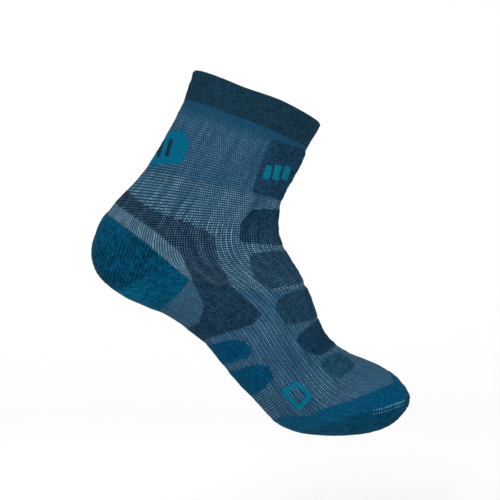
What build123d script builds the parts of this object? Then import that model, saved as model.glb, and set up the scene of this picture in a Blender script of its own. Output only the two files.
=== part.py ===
"""A cushioned quarter-height hiking sock, shaped as it sits on a foot that pushes off from the ball.

The frame is millimetres with +Z up, +X towards the toes and +Y across the foot. The origin is the
centre of the leg opening. The sock is one knitted tube, so its pieces are the zones where the yarn or
the stitch changes: turned cuff, mesh panels, pads, support band, heel pocket, toe cap, loop linings
and gore lines. A zone is cut from the knitted wall by an outline in the side view, and wraps round
the foot. The wall is divided across the ankle and across the ball of the foot, where the sock bends.
"""

from build123d import *
from math import copysign, cos, pi, sin
import os

# Layers, from the outside in
KNIT = 1.6  # outer knit
TERRY = 1.4  # loop lining under heel, ball and toes
CUFF_PLY = 1.1  # each ply of the turned cuff
CUFF_GAP = 1.0  # channel between the plies, which holds the elastic
ELASTIC = 0.7  # thickness and width of one round of elastic
ELASTIC_ROUNDS = 6

RING_POINTS = 20  # points on each cross-section
ROUND_SIDE = 2.1  # squareness of the front or instep side (2 is an ellipse)
REACH = 80  # half length of the cutting prisms, wider than the sock
GORE_WIDTH = 2.2  # width of the gore lines and of the toe seam
PAD_CORNER = 4  # corner radius of the pads
MARK_CORNER = 2  # corner radius of the badge and of the ribs under the arch
BAR_WIDTH = 3.0  # bars on the patch at the back of the leg
BAR_PITCH = 6.5
BLOCK_WIDTH = 4.6  # blocks on the shin pad
BLOCK_PITCH = 6.6
MARKS = 3  # bars, and blocks, side by side
BADGE_MIDDLE = 0.6  # size of the opening in the badge's ring, as a share of the badge

# Cross-sections from above the cuff, where the opening is cut, to the toe tip. Each lies in a plane
# that holds the Y axis, and runs from a back or sole point (x, z) to a front or instep point (x, z).
# Then come the half width, the shift along Y, and how square the back or sole side is.
SECTIONS = [
    ((-40, 30), (49, -12), 37, 0, 2.1),
    ((-44, 20), (44, -20), 36.5, 0, 2.1),
    ((-52, -3), (36.5, -37), 35, 0, 2.1),
    ((-67, -32), (25.5, -59.5), 33.5, 0, 2.1),
    ((-79, -51.5), (19.5, -71), 32, 0, 2.1),
    ((-90.3, -65), (16.6, -80), 31, 0, 2.15),
    ((-102.7, -78), (15.5, -88), 30.3, 0, 2.2),
    ((-113, -92.5), (15.5, -96), 30, 0, 2.3),
    ((-118, -108), (17, -103), 29.8, 0, 2.4),
    ((-115.5, -125), (20, -109.5), 29.8, 0, 2.5),
    ((-104.3, -137.4), (23.3, -115.5), 30, 0, 2.5),
    ((-88.8, -146.5), (27.3, -122), 30.3, 0, 2.5),
    ((-71, -154), (31.7, -129.5), 30.8, 0, 2.5),
    ((-62.5, -158.3), (34, -134), 31.1, 0, 2.5),
    ((-54, -163.8), (36.2, -138.5), 31.5, 0, 2.5),
    ((-46.2, -169.5), (38.1, -143.2), 32, 0, 2.5),
    ((-38.5, -175.6), (40, -148), 32.5, 0, 2.6),
    ((-24, -192.5), (44, -160), 34.5, 0, 2.6),
    ((-8.5, -210), (50, -172.3), 37.5, 0, 2.7),
    ((11.5, -231.5), (58.5, -179.5), 40, 0, 2.7),
    ((37, -241.5), (70, -186), 40.5, -1.5, 2.6),
    ((66, -242), (85.5, -192), 37.5, -4, 2.5),
    ((86, -238.5), (97.5, -199.5), 29, -7, 2.3),
    ((99.8, -231), (105.5, -208), 16, -9, 2.1),
    ((107.6, -222), (109, -214), 6, -9.5, 2),
]
FOOT_START = 14  # the section where the foot's loft starts

# Lines in the side view, as (x, z) points
RIM = ((-44, 20), (44, -20))
CUFF_FOOT = ((-52, -3), (36.5, -37))
LEG_LINE = [(-150, -34), (-77.5, -52.7), (17.5, -77), (90, -95.5)]  # between leg and ankle
ANKLE_LINE = [
    (-150, -58), (-97.5, -91), (-75, -107.5), (-47, -131.5), (8, -141), (34, -136), (90, -128),
]  # between ankle and foot
BALL_LINE = [(-14, -249), (2, -224), (46, -163), (90, -135)]  # between foot and ball
TOE_LINE = [(27.7, -249), (33.5, -240), (69, -184.5), (110, -128)]  # between ball and toes
BAND_UPPER_EDGE = [
    (-120, -47), (-92.5, -68), (-79.5, -78.5), (-64.5, -86), (-43.5, -93), (-29, -101), (-27, -118.5),
    (-16.5, -136), (4, -155.5), (-2.5, -162), (-33.5, -172.5), (-48, -184),
]
BAND_LOWER_EDGE = [
    (-130, -58), (-88.5, -85.5), (-73, -95.5), (-53, -112.5), (-44.5, -132), (-36.5, -149.5),
    (-39.5, -161), (-60, -173),
]
HEEL_GORE = ((-93, -135.2), (-66, -120.1))
TOE_GORE = ((62, -227.2), (112, -215.5))
TOE_SEAM = ((93, -180), (99, -213))  # closing seam across the top of the toes
FIRST_BAR = ((-60, -31.5), (-63.5, -44.5))
FIRST_BLOCK = ((22, -51), (19.2, -60.5))

# Outlines in the side view, as (x, z) corners
ABOVE_OPENING = [(-110, 50), (110, -50), (150, 80), (-60, 120)]
CUFF = [(-96.25, 14), (80.75, -54), (150, 80), (-60, 120)]
LEG_REGION = LEG_LINE + [(90, 60), (-150, 60)]
ANKLE_REGION = LEG_LINE + ANKLE_LINE[::-1]
FOOT_REGION = ANKLE_LINE + BALL_LINE[::-1] + [(-150, -249)]
BALL_REGION = BALL_LINE + TOE_LINE[::-1]
TOE_REGION = TOE_LINE + [(150, -128), (150, -249)]
SUPPORT_BAND = BAND_UPPER_EDGE + BAND_LOWER_EDGE[::-1]
BEHIND_BAND = BAND_LOWER_EDGE + [(-100, -200), (-150, -150)]
HEEL = [
    (-150, -58), (-97.5, -91), (-75, -107.5), (-47, -131.5), (-53, -139.5), (-68.5, -154), (-90, -175),
    (-150, -175),
]
BACK_PATCH = [(-80, -26), (-51.5, -26), (-46.5, -36), (-52, -50), (-90, -50)]
SHIN_PAD = [(10.3, -32.7), (-4, -70.2), (25, -76.3), (50, -44.2)]
ANKLE_PAD_UPPER = [(40, -80.5), (-3, -82), (-11, -91), (-12.5, -105), (40, -109)]
ANKLE_PAD_LOWER = [(40, -109.5), (-5.5, -113.5), (-2, -130), (9, -138), (50, -131.5)]
INSTEP_PAD_UPPER = [(60, -130), (19, -142.5), (12.5, -149), (19, -161), (26, -163), (60, -154)]
INSTEP_PAD_LOWER = [(60, -150), (33.5, -166.5), (27, -173), (35, -182), (44, -184.5), (72, -172)]
TOE_PAD = [
    (44, -191.5), (49, -186), (56.5, -183), (65.5, -186.4), (70.5, -191.5), (66, -195.5),
    (55, -198.5), (48.5, -196),
]
ARCH_RIB_REAR = [(-50, -185), (-20, -173), (-8, -174.5), (-3, -180.5), (-6, -185.5), (-45, -200)]
ARCH_RIB_FRONT = [(-35, -204), (-3.5, -191), (8, -191), (12.5, -199), (6, -206), (-20, -224)]
SOLE_CUSHION = [
    (4, -249), (12, -231.5), (20, -226), (35.5, -225.5), (46.5, -220), (56, -217), (66.5, -213.5),
    (77.5, -209.5), (91, -205), (96, -203.5), (95, -198), (97, -188), (150, -180), (150, -249),
]
BADGE = [(27.5, -200.5), (39.5, -211), (29, -222.5), (16.5, -208.5)]


def section_plane(back, front):
    """The plane of a cross-section, and its half depth."""
    start, end = Vector(back[0], 0, back[1]), Vector(front[0], 0, front[1])
    along = (end - start).normalized()
    plane = Plane(origin=(start + end) / 2, x_dir=along, z_dir=along.cross(Vector(0, 1, 0)))
    return plane, (end - start).length / 2


def ring_points(half_depth, half_width, shift, square):
    """Points round a cross-section: local x runs from sole to instep, local y across the foot."""
    points = []
    for i in range(RING_POINTS):
        turn = 2 * pi * i / RING_POINTS
        power = 2 / (square if cos(turn) < 0 else ROUND_SIDE)
        x = half_depth * copysign(abs(cos(turn)) ** power, cos(turn))
        y = half_width * copysign(abs(sin(turn)) ** power, sin(turn)) + shift
        points.append((x, y))
    return points


def ring_face(section, inset):
    """The face inside a cross-section, brought in by inset. At the toe tip it also moves back."""
    back, front, half_width, shift, square = section
    plane, half_depth = section_plane(back, front)
    if section is SECTIONS[-1]:
        plane = plane.offset(inset)
    with BuildSketch(plane) as ring:
        with BuildLine():
            Spline(*ring_points(half_depth - inset, half_width - inset, shift, square), periodic=True)
        make_face()
    return ring.sketch.faces()[0]


def body(inset):
    """The solid within the sock's surface, brought in by inset: leg and heel, then foot."""
    with BuildPart() as solid:
        loft([ring_face(section, inset) for section in SECTIONS[: FOOT_START + 1]])
        loft([ring_face(section, inset) for section in SECTIONS[FOOT_START:]])
    return solid.part


def prism(corners, radius=0.0, one_side=False):
    """A side-view outline pushed through the whole sock, or only through its -Y half."""
    with BuildPart() as cutter:
        with BuildSketch(Plane.XZ) as outline:
            Polygon(*corners, align=None)
            if radius:
                fillet(outline.vertices(), radius)
        extrude(amount=REACH, both=not one_side)
    return cutter.part


def strip(line, width=GORE_WIDTH, shift=0.0):
    """A prism of the given width along a side-view line, which is moved by shift along X."""
    (x0, z0), (x1, z1) = line
    with BuildPart() as cutter:
        with BuildSketch(Plane.XZ):
            with BuildLine():
                Line((x0 + shift, z0), (x1 + shift, z1))
            trace(line_width=width)
        extrude(amount=REACH, both=True)
    return cutter.part


def layer(outside, inside):
    """The wall between two bodies, cut off at the leg opening."""
    above = prism(ABOVE_OPENING)
    with BuildPart() as wall:
        add(outside)
        add(inside, mode=Mode.SUBTRACT)
        add(above, mode=Mode.SUBTRACT)
    return wall.part


def shrunk(corners, share):
    """An outline made smaller about its centre, to the given share of its size."""
    centre_x = sum(x for x, z in corners) / len(corners)
    centre_z = sum(z for x, z in corners) / len(corners)
    return [(centre_x + (x - centre_x) * share, centre_z + (z - centre_z) * share) for x, z in corners]


def between(line_a, line_b, t):
    """The side-view line a fraction t of the way from one line to another."""
    return tuple(
        tuple(a + (b - a) * t for a, b in zip(point_a, point_b)) for point_a, point_b in zip(line_a, line_b)
    )


# The knitted wall and the loop lining behind it
surface = body(0)
knit_back = body(KNIT)
knit = layer(surface, knit_back)
lining = layer(knit_back, body(KNIT + TERRY))

# The cuff's plies, which are thinner than the knit, and the channel between them
ply_back = body(CUFF_PLY)
channel_back = body(CUFF_PLY + CUFF_GAP)
cuff_back = body(2 * CUFF_PLY + CUFF_GAP)
outer_ply = layer(surface, ply_back)
inner_ply = layer(channel_back, cuff_back)
turned_edge = layer(ply_back, cuff_back)
elastic_inset = CUFF_PLY + (CUFF_GAP - ELASTIC) / 2
elastic_layer = layer(body(elastic_inset), body(elastic_inset + ELASTIC))

# Zones that the pieces are cut with
cuff_zone = prism(CUFF)
leg_zone = prism(LEG_REGION)
ankle_zone = prism(ANKLE_REGION)
foot_zone = prism(FOOT_REGION)
ball_zone = prism(BALL_REGION)
toe_zone = prism(TOE_REGION)
band_zone = prism(SUPPORT_BAND)
behind_band = prism(BEHIND_BAND)
heel_zone = prism(HEEL)
sole_zone = prism(SOLE_CUSHION)
back_patch_zone = prism(BACK_PATCH, PAD_CORNER)
shin_pad_zone = prism(SHIN_PAD, PAD_CORNER)
ankle_pad_upper_zone = prism(ANKLE_PAD_UPPER, PAD_CORNER)
ankle_pad_lower_zone = prism(ANKLE_PAD_LOWER, PAD_CORNER)
instep_pad_upper_zone = prism(INSTEP_PAD_UPPER, PAD_CORNER)
instep_pad_lower_zone = prism(INSTEP_PAD_LOWER, PAD_CORNER)
toe_pad_zone = prism(TOE_PAD, PAD_CORNER)
rib_rear_zone = prism(ARCH_RIB_REAR, MARK_CORNER)
rib_front_zone = prism(ARCH_RIB_FRONT, MARK_CORNER)
badge_zone = prism(BADGE, MARK_CORNER, one_side=True)
badge_middle = prism(shrunk(BADGE, BADGE_MIDDLE), MARK_CORNER / 2, one_side=True)
heel_gore_zone = strip(HEEL_GORE)
toe_gore_zone = strip(TOE_GORE)
toe_seam_zone = strip(TOE_SEAM)
rim_strip = strip(RIM, 2 * CUFF_PLY)
cuff_foot_strip = strip(CUFF_FOOT, 2 * CUFF_PLY)
bar_zones = [strip(FIRST_BAR, BAR_WIDTH, -i * BAR_PITCH) for i in range(MARKS)]
block_zones = [strip(FIRST_BLOCK, BLOCK_WIDTH, -i * BLOCK_PITCH) for i in range(MARKS)]
elastic_strips = [
    strip(between(RIM, CUFF_FOOT, (i + 1) / (ELASTIC_ROUNDS + 1)), ELASTIC) for i in range(ELASTIC_ROUNDS)
]

# --- Leg ---------------------------------------------------------------------------------------------

with BuildPart() as cuff_turn:
    add(turned_edge)
    add(rim_strip, mode=Mode.INTERSECT)

with BuildPart() as cuff_outer_ply:
    add(outer_ply)
    add(cuff_zone, mode=Mode.INTERSECT)
    add(cuff_turn.part)

with BuildPart() as cuff_join:
    add(turned_edge)
    add(cuff_foot_strip, mode=Mode.INTERSECT)
    add(cuff_zone, mode=Mode.INTERSECT)

with BuildPart() as cuff_inner_ply:
    add(inner_ply)
    add(cuff_zone, mode=Mode.INTERSECT)
    add(rim_strip, mode=Mode.SUBTRACT)
    add(cuff_join.part)

with BuildPart() as cuff_elastic:
    add(elastic_strips)
    add(elastic_layer, mode=Mode.INTERSECT)

with BuildPart() as leg_panel:
    add(knit)
    add(leg_zone, mode=Mode.INTERSECT)
    add([cuff_zone, back_patch_zone, shin_pad_zone], mode=Mode.SUBTRACT)

with BuildPart() as back_patch:
    add(knit)
    add(back_patch_zone, mode=Mode.INTERSECT)
    add(bar_zones, mode=Mode.SUBTRACT)

with BuildPart() as back_patch_bars:
    add(bar_zones)
    add(knit, mode=Mode.INTERSECT)

with BuildPart() as shin_pad:
    add(knit)
    add(shin_pad_zone, mode=Mode.INTERSECT)
    add(block_zones, mode=Mode.SUBTRACT)

with BuildPart() as shin_pad_blocks:
    add(block_zones)
    add(knit, mode=Mode.INTERSECT)

# --- Ankle, which bends with the leg ------------------------------------------------------------------

with BuildPart() as ankle_panel:
    add(knit)
    add(ankle_zone, mode=Mode.INTERSECT)
    add([band_zone, behind_band, ankle_pad_upper_zone, ankle_pad_lower_zone], mode=Mode.SUBTRACT)

with BuildPart() as ankle_pad_upper:
    add(knit)
    add(ankle_pad_upper_zone, mode=Mode.INTERSECT)

with BuildPart() as ankle_pad_lower:
    add(knit)
    add(ankle_pad_lower_zone, mode=Mode.INTERSECT)

with BuildPart() as support_band_upper:
    add(knit)
    add(ankle_zone, mode=Mode.INTERSECT)
    add(band_zone, mode=Mode.INTERSECT)

with BuildPart() as heel_gusset_upper:
    add(knit)
    add(ankle_zone, mode=Mode.INTERSECT)
    add(behind_band, mode=Mode.INTERSECT)

# --- Foot ---------------------------------------------------------------------------------------------

with BuildPart() as support_band_lower:
    add(knit)
    add(foot_zone, mode=Mode.INTERSECT)
    add(band_zone, mode=Mode.INTERSECT)

with BuildPart() as heel_gusset_lower:
    add(knit)
    add(foot_zone, mode=Mode.INTERSECT)
    add(behind_band, mode=Mode.INTERSECT)
    add(heel_zone, mode=Mode.SUBTRACT)

with BuildPart() as heel_pocket:
    add(knit)
    add(heel_zone, mode=Mode.INTERSECT)
    add(heel_gore_zone, mode=Mode.SUBTRACT)

with BuildPart() as heel_gore_line:
    add(knit)
    add(heel_gore_zone, mode=Mode.INTERSECT)

with BuildPart() as heel_terry_lining:
    add(lining)
    add(heel_zone, mode=Mode.INTERSECT)

with BuildPart() as foot_panel:
    add(knit)
    add(foot_zone, mode=Mode.INTERSECT)
    add([band_zone, behind_band, instep_pad_upper_zone, instep_pad_lower_zone], mode=Mode.SUBTRACT)
    add([heel_zone, rib_rear_zone, rib_front_zone], mode=Mode.SUBTRACT)

with BuildPart() as instep_pad_upper:
    add(knit)
    add(instep_pad_upper_zone, mode=Mode.INTERSECT)

with BuildPart() as arch_rib_rear:
    add(knit)
    add(rib_rear_zone, mode=Mode.INTERSECT)

with BuildPart() as arch_rib_front:
    add(knit)
    add(rib_front_zone, mode=Mode.INTERSECT)

# --- Ball of the foot, which bends with the foot ------------------------------------------------------

with BuildPart() as instep_pad_lower:
    add(knit)
    add(instep_pad_lower_zone, mode=Mode.INTERSECT)

with BuildPart() as toe_pad:
    add(knit)
    add(toe_pad_zone, mode=Mode.INTERSECT)

with BuildPart() as badge_ring:
    add(badge_zone)
    add(badge_middle, mode=Mode.SUBTRACT)

with BuildPart() as side_badge:
    add(knit)
    add(badge_ring.part, mode=Mode.INTERSECT)

with BuildPart() as ball_panel:
    add(knit)
    add(ball_zone, mode=Mode.INTERSECT)
    add([sole_zone, instep_pad_lower_zone, toe_pad_zone, badge_ring.part], mode=Mode.SUBTRACT)

with BuildPart() as ball_cushion:
    add(knit)
    add(ball_zone, mode=Mode.INTERSECT)
    add(sole_zone, mode=Mode.INTERSECT)

with BuildPart() as ball_terry_lining:
    add(lining)
    add(ball_zone, mode=Mode.INTERSECT)
    add(sole_zone, mode=Mode.INTERSECT)

# --- Toes ---------------------------------------------------------------------------------------------

with BuildPart() as toe_panel:
    add(knit)
    add(toe_zone, mode=Mode.INTERSECT)
    add([sole_zone, toe_pad_zone], mode=Mode.SUBTRACT)

with BuildPart() as toe_cap:
    add(knit)
    add(toe_zone, mode=Mode.INTERSECT)
    add(sole_zone, mode=Mode.INTERSECT)
    add(toe_gore_zone, mode=Mode.SUBTRACT)

with BuildPart() as toe_gore_line:
    add(knit)
    add(toe_gore_zone, mode=Mode.INTERSECT)

with BuildPart() as toe_terry_lining:
    add(lining)
    add(toe_zone, mode=Mode.INTERSECT)
    add(sole_zone, mode=Mode.INTERSECT)
    add(toe_seam_zone, mode=Mode.SUBTRACT)

with BuildPart() as toe_seam:
    add(lining)
    add(toe_seam_zone, mode=Mode.INTERSECT)

PIECES = {
    "cuff_outer_ply": cuff_outer_ply,
    "cuff_inner_ply": cuff_inner_ply,
    "cuff_elastic": cuff_elastic,
    "leg_panel": leg_panel,
    "back_patch": back_patch,
    "back_patch_bars": back_patch_bars,
    "shin_pad": shin_pad,
    "shin_pad_blocks": shin_pad_blocks,
    "ankle_panel": ankle_panel,
    "ankle_pad_upper": ankle_pad_upper,
    "ankle_pad_lower": ankle_pad_lower,
    "support_band_upper": support_band_upper,
    "heel_gusset_upper": heel_gusset_upper,
    "support_band_lower": support_band_lower,
    "heel_gusset_lower": heel_gusset_lower,
    "heel_pocket": heel_pocket,
    "heel_gore_line": heel_gore_line,
    "heel_terry_lining": heel_terry_lining,
    "foot_panel": foot_panel,
    "instep_pad_upper": instep_pad_upper,
    "arch_rib_rear": arch_rib_rear,
    "arch_rib_front": arch_rib_front,
    "instep_pad_lower": instep_pad_lower,
    "toe_pad": toe_pad,
    "side_badge": side_badge,
    "ball_panel": ball_panel,
    "ball_cushion": ball_cushion,
    "ball_terry_lining": ball_terry_lining,
    "toe_panel": toe_panel,
    "toe_cap": toe_cap,
    "toe_gore_line": toe_gore_line,
    "toe_terry_lining": toe_terry_lining,
    "toe_seam": toe_seam,
}

os.makedirs("parts", exist_ok=True)
for name, piece in PIECES.items():
    piece.part.label = name
    export_step(piece.part, f"parts/{name}.step")
    volume = sum(solid.volume for solid in piece.part.solids())
    print(f"{name}: {len(piece.part.solids())} solids, {volume:.0f} mm3")
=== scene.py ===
"""A cushioned hiking sock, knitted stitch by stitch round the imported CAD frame.

The sock is one tube. Its courses are rings round a line through the leg, heel and foot, and its wales
run from the cuff to the toes. The tube's surface is found by casting rays at the CAD pieces, so every
stitch lies where the CAD has it, and each half stitch belongs to the CAD node that it lies on.
"""

import math

import bpy
import numpy as np
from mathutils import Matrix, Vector
from mathutils.bvhtree import BVHTree


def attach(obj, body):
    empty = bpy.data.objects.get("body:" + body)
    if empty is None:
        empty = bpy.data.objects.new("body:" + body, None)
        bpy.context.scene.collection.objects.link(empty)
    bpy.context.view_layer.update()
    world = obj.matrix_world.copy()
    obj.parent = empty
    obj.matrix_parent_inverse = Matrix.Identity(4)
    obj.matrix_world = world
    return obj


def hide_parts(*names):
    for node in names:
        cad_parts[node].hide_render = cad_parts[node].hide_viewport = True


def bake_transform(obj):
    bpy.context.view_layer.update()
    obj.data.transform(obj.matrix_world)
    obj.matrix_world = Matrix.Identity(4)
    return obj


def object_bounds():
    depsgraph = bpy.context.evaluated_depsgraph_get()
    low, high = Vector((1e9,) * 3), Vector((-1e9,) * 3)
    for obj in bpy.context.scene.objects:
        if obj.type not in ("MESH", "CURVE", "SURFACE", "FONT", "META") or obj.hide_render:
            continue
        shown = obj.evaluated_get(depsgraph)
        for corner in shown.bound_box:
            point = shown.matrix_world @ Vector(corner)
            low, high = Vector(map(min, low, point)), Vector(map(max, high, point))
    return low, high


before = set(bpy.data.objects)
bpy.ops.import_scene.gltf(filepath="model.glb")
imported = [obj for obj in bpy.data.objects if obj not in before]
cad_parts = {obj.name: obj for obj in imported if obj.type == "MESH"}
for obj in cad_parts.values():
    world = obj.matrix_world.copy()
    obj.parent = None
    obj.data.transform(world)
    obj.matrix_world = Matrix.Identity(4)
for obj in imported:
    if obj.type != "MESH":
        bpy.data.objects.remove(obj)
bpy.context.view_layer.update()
MM = 0.001

# --- Knit ------------------------------------------------------------------------------------------

WALES = 176  # stitches round the tube
COURSES = 204  # stitches along the tube, from the rim to the toe tip
TURN = 3  # further courses over the rim
INSIDE = 19  # further courses down the inside of the turned cuff
SPLIT = 4  # mesh faces along each side of a stitch
CELL = SPLIT // 2  # mesh faces along each side of a half stitch, which is the unit that a piece is made of
RAYS = 240  # rays cast round each ring
FAR = 0.11  # how far outside the tube's line a ray starts

KNIT = 1.6 * MM  # thickness of the outer knit
TERRY = 1.4 * MM  # thickness of the loop lining
PLY = 1.1 * MM  # thickness of each ply of the cuff
CUFF = 3.2 * MM  # thickness of the turned cuff
CUFF_DEPTH = 3.3 * MM  # from the tube's surface to the cuff's inside

# The tube's line: x and z of each ring's centre, and the tilt of the ring's front above the horizon
TUBE = [
    (-0.7, -1.5, -24.4), (-7.8, -20, -21), (-20.8, -45.8, -16.6), (-29.8, -61.2, -11.5), (-37.4, -72.3, -8.2),
    (-44.2, -82.8, -4.6), (-48.8, -94.3, -1.2), (-50, -105.5, 2.4), (-47, -117.3, 6), (-40.8, -126.8, 9),
    (-30.5, -134, 11.4), (-19.5, -141.8, 13.3), (-8.8, -151, 15.6), (0.8, -161.5, 19), (10, -176, 25.5),
    (21, -191, 34.5), (35, -205.5, 46.5), (53.5, -213.8, 58.5), (70, -216.6, 66.5), (82, -218.2, 72),
]
HEEL_GORE = ((-93, -135.2), (-66, -120.1))  # x and z in mm of the heel's fashioning line
TOE_GORE = ((62, -227.2), (112, -215.5))  # and of the toe's
TOE_GORE_BRIGHT = (81, 104)  # x in mm between which the toe's fashioning stitches are bright
HEEL_RIB_WAY = (-0.94, 0, 0.342)  # across the heel's ribs
HEEL_RIB_PITCH = 2.5 * MM
HEEL_CORNER = (-20, -90)  # x and z in mm that the heel lies behind and below
COURSE = 1.6 * MM  # height of a course, by which the courses of a zone are counted
FRONT_WALE, SIDE_WALE = -17, -44  # wales on the camera's side along which they are counted
FULL_WALE = 1.9 * MM  # width of a wale at the toe tip, below which its relief gets shallower
GROOVES = ((HEEL_GORE, 0.45), (TOE_GORE, 0.4))  # the gores and their depths in mm
GROOVE_WIDTH = 1.1 * MM
UNEVEN = 0.13  # how far uneven tension lifts and sinks the knit, in mm

LINING_GAP = 0.05 * MM  # from the outer knit to the lining
LINING_REACH = 1.1 * MM  # how far from a CAD lining the lining's stitches may start
LOOPS = 0.6 * MM  # how much the lining's loops vary in height
SEAM_PROUD = 0.8 * MM  # how far the toe's closing seam stands out inside

# The cuff's rim sags at its back, and stands up and flares at its front, in mm
RIM_SAG, RIM_LIFT, RIM_FLARE = 1.3, 1.5, 2
RIM_COURSES = 11  # how far down the leg this reaches

TOE_TURN = 34  # courses of the toe cap, whose rings turn from upright to facing forwards
TIP_ANGLE = 88  # degrees that they have turned at the toe tip
DRIFT = 0.45  # how much the wales are drawn down the sides of the foot, towards the sole
DRIFT_FROM, DRIFT_TO = 20, 76  # x in mm of the rings between which they are drawn down
DRIFT_ENDS = (0.3, 1.4)  # radians of the toe rings' turn over which this ends

SKIN = [  # CAD nodes that the outer stitches lie on
    "cuff_outer_ply", "leg_panel", "back_patch", "back_patch_bars", "shin_pad", "shin_pad_blocks",
    "ankle_panel", "ankle_pad_upper", "ankle_pad_lower", "support_band_upper", "heel_gusset_upper",
    "support_band_lower", "heel_gusset_lower", "heel_pocket", "foot_panel", "instep_pad_upper",
    "arch_rib_rear", "arch_rib_front", "instep_pad_lower", "toe_pad", "side_badge", "ball_panel",
    "ball_cushion", "toe_panel", "toe_cap",
]
GORES = ["heel_gore_line", "toe_gore_line"]  # CAD nodes that rows of fashioning stitches stand for
LININGS = ["heel_terry_lining", "ball_terry_lining", "toe_terry_lining", "toe_seam"]


def srgb(red, green, blue):
    """A colour given as 0-255 display values, in the linear values that a shader takes."""
    out = []
    for value in (red, green, blue):
        c = value / 255
        out.append(c / 12.92 if c <= 0.04045 else ((c + 0.055) / 1.055) ** 2.4)
    return (*out, 1.0)


def smoothstep(x, low, high):
    """0 at low, 1 at high and smooth between them."""
    t = np.clip((x - low) / (high - low), 0, 1)
    return t * t * (3 - 2 * t)


# --- Surface of the tube ---------------------------------------------------------------------------


def node_tree(names):
    """One search tree over CAD nodes, and which of the names each of its faces belongs to."""
    points, faces, owner = [], [], []
    for index, name in enumerate(names):
        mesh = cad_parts[name].data
        base = len(points)
        points.extend(v.co[:] for v in mesh.vertices)
        faces.extend([base + i for i in p.vertices] for p in mesh.polygons)
        owner.extend([index] * len(mesh.polygons))
    return BVHTree.FromPolygons(points, faces), np.array(owner)


def spread(values, count):
    """Values along a line, spread evenly by its length: Catmull-Rom between the given rows."""
    rows = np.array(values, float)
    padded = np.vstack([2 * rows[0] - rows[1], rows, 2 * rows[-1] - rows[-2]])
    fine = []
    for i in range(len(rows) - 1):
        p0, p1, p2, p3 = padded[i : i + 4]
        for t in np.linspace(0, 1, 24, endpoint=False):
            fine.append(
                p1 + 0.5 * t * (p2 - p0 + t * (2 * p0 - 5 * p1 + 4 * p2 - p3 + t * (3 * (p1 - p2) + p3 - p0)))
            )
    fine = np.array(fine + [rows[-1]])
    length = np.r_[0, np.cumsum(np.linalg.norm(np.diff(fine[:, :2], axis=0), axis=1))]
    at = np.linspace(0, length[-1], count)
    return np.stack([np.interp(at, length, fine[:, k]) for k in range(fine.shape[1])], axis=1)


def cast_ring(tree, centre, across, forward):
    """Points where rays from all round a ring's centre leave the CAD skin."""
    ring = np.empty((RAYS, 3))
    for i in range(RAYS):
        turn = 2 * math.pi * i / RAYS
        way = math.cos(turn) * across + math.sin(turn) * Vector((0, 1, 0))
        way = (way + forward).normalized()
        hit = tree.ray_cast(centre + way * FAR, -way)[0]
        ring[i] = hit if hit is not None else ring[i - 1]
    return ring


def even_ring(ring, count, drift):
    """The ring's points moved to equal distances round it, starting from its front.

    With drift they crowd towards the ring's back, which is the sole.
    """
    closed = np.vstack([ring, ring[:1]])
    length = np.r_[0, np.cumsum(np.linalg.norm(np.diff(closed, axis=0), axis=1))]
    turn = np.arange(count) / count
    at = (turn + drift * np.sin(2 * math.pi * turn) / (2 * math.pi)) * length[-1]
    return np.stack([np.interp(at, length, closed[:, k]) for k in range(3)], axis=1)


def tube_surface(tree):
    """The skin as rows of points: rings from the rim to the toe tip, columns round the tube."""
    straight = (COURSES - TOE_TURN) * SPLIT
    rows, drift = [], []
    for x, z, tilt in spread(TUBE, straight + 1):
        angle = math.radians(tilt)
        across = Vector((math.cos(angle), 0, math.sin(angle)))
        rows.append(cast_ring(tree, Vector((x * MM, 0, z * MM)), across, Vector((0, 0, 0))))
        drift.append(DRIFT * smoothstep(x, DRIFT_FROM, DRIFT_TO))
    # The rings of the toe keep the last ring's centre and open forwards from it
    for i in range(1, TOE_TURN * SPLIT + 1):
        turn = math.radians(TIP_ANGLE) * i / (TOE_TURN * SPLIT)
        forward = Vector((math.sin(angle), 0, -math.cos(angle))) * math.tan(turn)
        rows.append(cast_ring(tree, Vector((x * MM, 0, z * MM)), across, forward))
        drift.append(drift[straight] * (1 - smoothstep(turn, *DRIFT_ENDS)))
    grid = np.array([even_ring(ring, WALES * SPLIT, down) for ring, down in zip(rows, drift)])
    for _ in range(6):
        around = (np.roll(grid, 1, axis=1) + 2 * grid + np.roll(grid, -1, axis=1)) / 4
        grid[1:-1] = (around[:-2] + 2 * around[1:-1] + around[2:]) / 4
    return grid


def normals_of(grid):
    """Outward unit normals of a grid of points that closes round its columns."""
    down = np.gradient(grid, axis=0)
    around = np.roll(grid, -1, axis=1) - np.roll(grid, 1, axis=1)
    normal = np.cross(down, around)
    normal /= np.linalg.norm(normal, axis=2, keepdims=True) + 1e-12
    return normal


# --- Zones -----------------------------------------------------------------------------------------

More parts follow.
